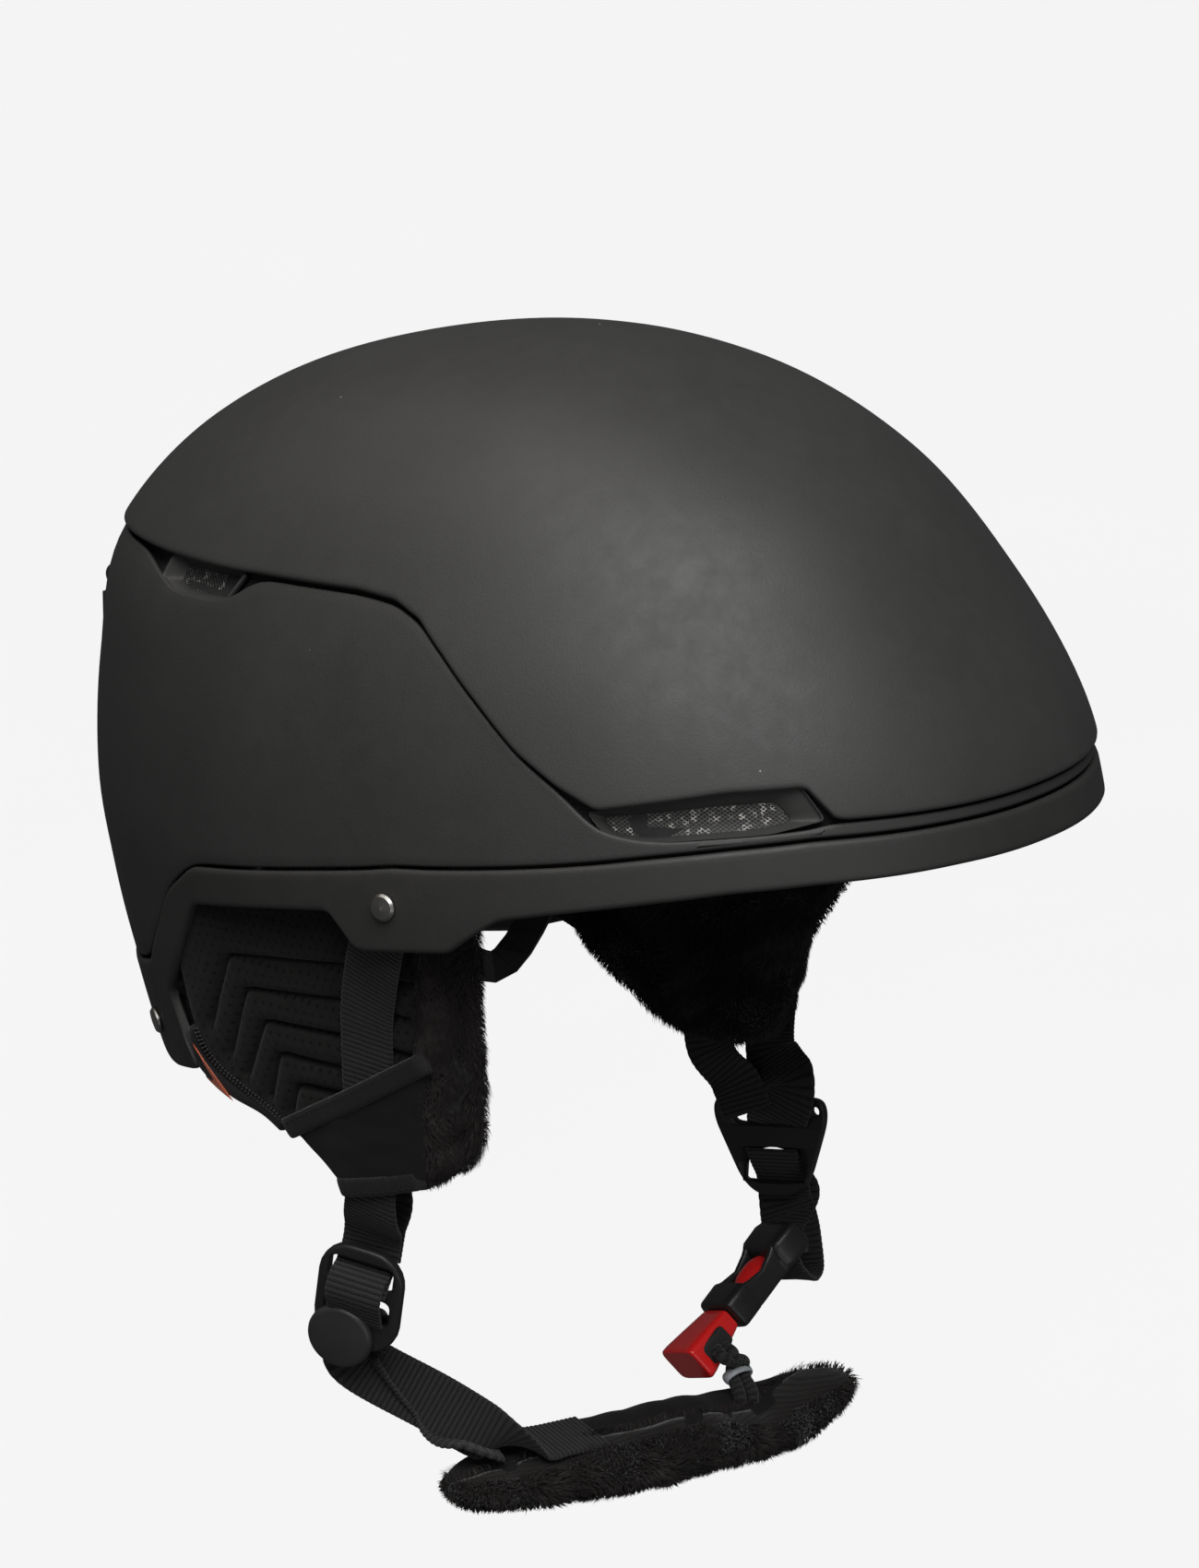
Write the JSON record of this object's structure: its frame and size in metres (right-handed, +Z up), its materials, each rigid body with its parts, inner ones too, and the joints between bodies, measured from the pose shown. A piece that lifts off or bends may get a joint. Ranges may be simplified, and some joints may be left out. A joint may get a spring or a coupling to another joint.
{
  "type": "ski helmet",
  "caption": "Ski helmet with a raised top shell, vents, soft ear pads, riveted webbing, strap dividers, red-tongued buckle, chin pad and rear fit dial.",
  "frame": {"origin": "centre of the head opening at the height of the ears, where the head goes in", "axes": "+Z up through the crown, -Y out of the brow, +X to the wearer's left"},
  "size_m": [0.2168, 0.2925, 0.3157],
  "materials": {
    "shell_black": "matte, fine soft-touch grain",
    "band_black": "matte moulded",
    "foam": "expanded bead foam, black",
    "mesh_grey": "fine diagonal mesh",
    "mesh_black": "fine mesh",
    "liner_cloth": "brushed knit",
    "nylon_black": "moulded nylon",
    "rubber_black": "soft-touch rubber",
    "steel": "satin",
    "rivet_steel": "worn satin",
    "pad_cloth": "perforated stretch cloth",
    "plush": "short plush pile",
    "knit": "smooth knit",
    "satin": "satin binding, stitched",
    "tab_orange": "woven tab, plain",
    "webbing": "ribbed webbing",
    "divider_black": "satin moulded",
    "buckle_black": "semi-gloss moulded",
    "buckle_red": "glossy",
    "cord": "braided flat cord",
    "keeper_grey": "translucent rubber"
  },
  "bodies": {
    "helmet": {"top_shell": "shell_black", "lower_shell": "shell_black", "rim_band": "band_black", "foam_liner": "foam", "foam_crown": "foam", "front_vent_mesh": "mesh_grey", "rear_vent_mesh": "mesh_black", "crown_pad": "liner_cloth", "brow_pad": "liner_cloth", "side_pads": "liner_cloth", "nape_pad": "liner_cloth", "fit_cradle": "nylon_black", "fit_housing": "nylon_black", "fit_housing_cover": "nylon_black", "dial_screw": "steel", "ear_pad_right": "pad_cloth", "ear_pad_left": "pad_cloth", "ear_lining_right": "plush", "ear_lining_left": "plush", "ear_pocket_right": "knit", "ear_pocket_left": "knit", "pocket_binding_right": "satin", "pocket_binding_left": "satin", "ear_tab_right": "tab_orange", "ear_tab_left": "tab_orange", "ear_clips": "nylon_black", "strap_front_right": "webbing", "strap_front_left": "webbing", "strap_rear_right": "webbing", "strap_rear_left": "webbing", "front_rivets": "rivet_steel", "rear_rivets": "rivet_steel", "rivet_washers": "steel", "chin_strap_right": "webbing", "chin_strap_left": "webbing", "buckle_housing": "buckle_black", "goggle_clip_base": "nylon_black", "goggle_clip_pin": "steel", "goggle_clip_stud": "steel"},
    "fit_dial": {"fit_dial": "rubber_black"},
    "fit_rack_left": {"fit_rack_left": "nylon_black"},
    "fit_rack_right": {"fit_rack_right": "nylon_black"},
    "divider_right": {"divider_ring_right": "divider_black", "divider_cap_right": "divider_black"},
    "divider_left": {"divider_plate_left": "divider_black"},
    "chin_pad": {"buckle_insert": "buckle_red", "buckle_cord": "cord", "cord_keeper": "keeper_grey", "chin_pad_cover": "knit", "chin_pad_lining": "plush", "chin_pad_sleeve": "knit"},
    "buckle_tongue": {"buckle_tongue": "buckle_red"},
    "goggle_clip": {"goggle_clip_flap": "rubber_black"}
  },
  "joints": [
    {"name": "fit_dial_turn", "type": "hinge", "parent": "helmet", "child": "fit_dial", "pos_m": [0, 0.086, -0.033], "axis": [0, -1, 0], "range_deg": [0, 120]},
    {"name": "fit_rack_left_slide", "type": "slide", "parent": "helmet", "child": "fit_rack_left", "axis": [-1, 0, 0], "range_m": [0, 0.0102]},
    {"name": "fit_rack_right_slide", "type": "slide", "parent": "helmet", "child": "fit_rack_right", "axis": [1, 0, 0], "range_m": [0, 0.0102]},
    {"name": "divider_right_slide", "type": "slide", "parent": "helmet", "child": "divider_right", "axis": [0.102, 0.2244, -0.9691], "range_m": [-0.004, 0.004], "deforming": ["strap_front_right", "strap_rear_right", "chin_strap_right"]},
    {"name": "divider_left_slide", "type": "slide", "parent": "helmet", "child": "divider_left", "axis": [-0.0496, -0.119, -0.9917], "range_m": [-0.004, 0.004], "deforming": ["strap_front_left", "strap_rear_left", "chin_strap_left"]},
    {"name": "buckle_pull", "type": "slide", "parent": "helmet", "child": "chin_pad", "axis": [-0.8212, 0.104, -0.5611], "range_m": [0, 0.028], "deforming": ["chin_strap_right"]},
    {"name": "buckle_tongue_press", "type": "slide", "parent": "chin_pad", "child": "buckle_tongue", "axis": [0.4714, -0.4305, -0.7697], "range_m": [0, 0.001], "stiffness_N_per_m": 800},
    {"name": "goggle_clip_turn", "type": "hinge", "parent": "helmet", "child": "goggle_clip", "pos_m": [0, 0.14969, 0.085], "axis": [1, 0, 0], "range_deg": [0, 110]}
  ],
  "couplings": [
    {"joint": "fit_rack_left_slide", "follows": "fit_dial_turn", "m_per_rad": 0.0048},
    {"joint": "fit_rack_right_slide", "follows": "fit_dial_turn", "m_per_rad": 0.0048}
  ]
}
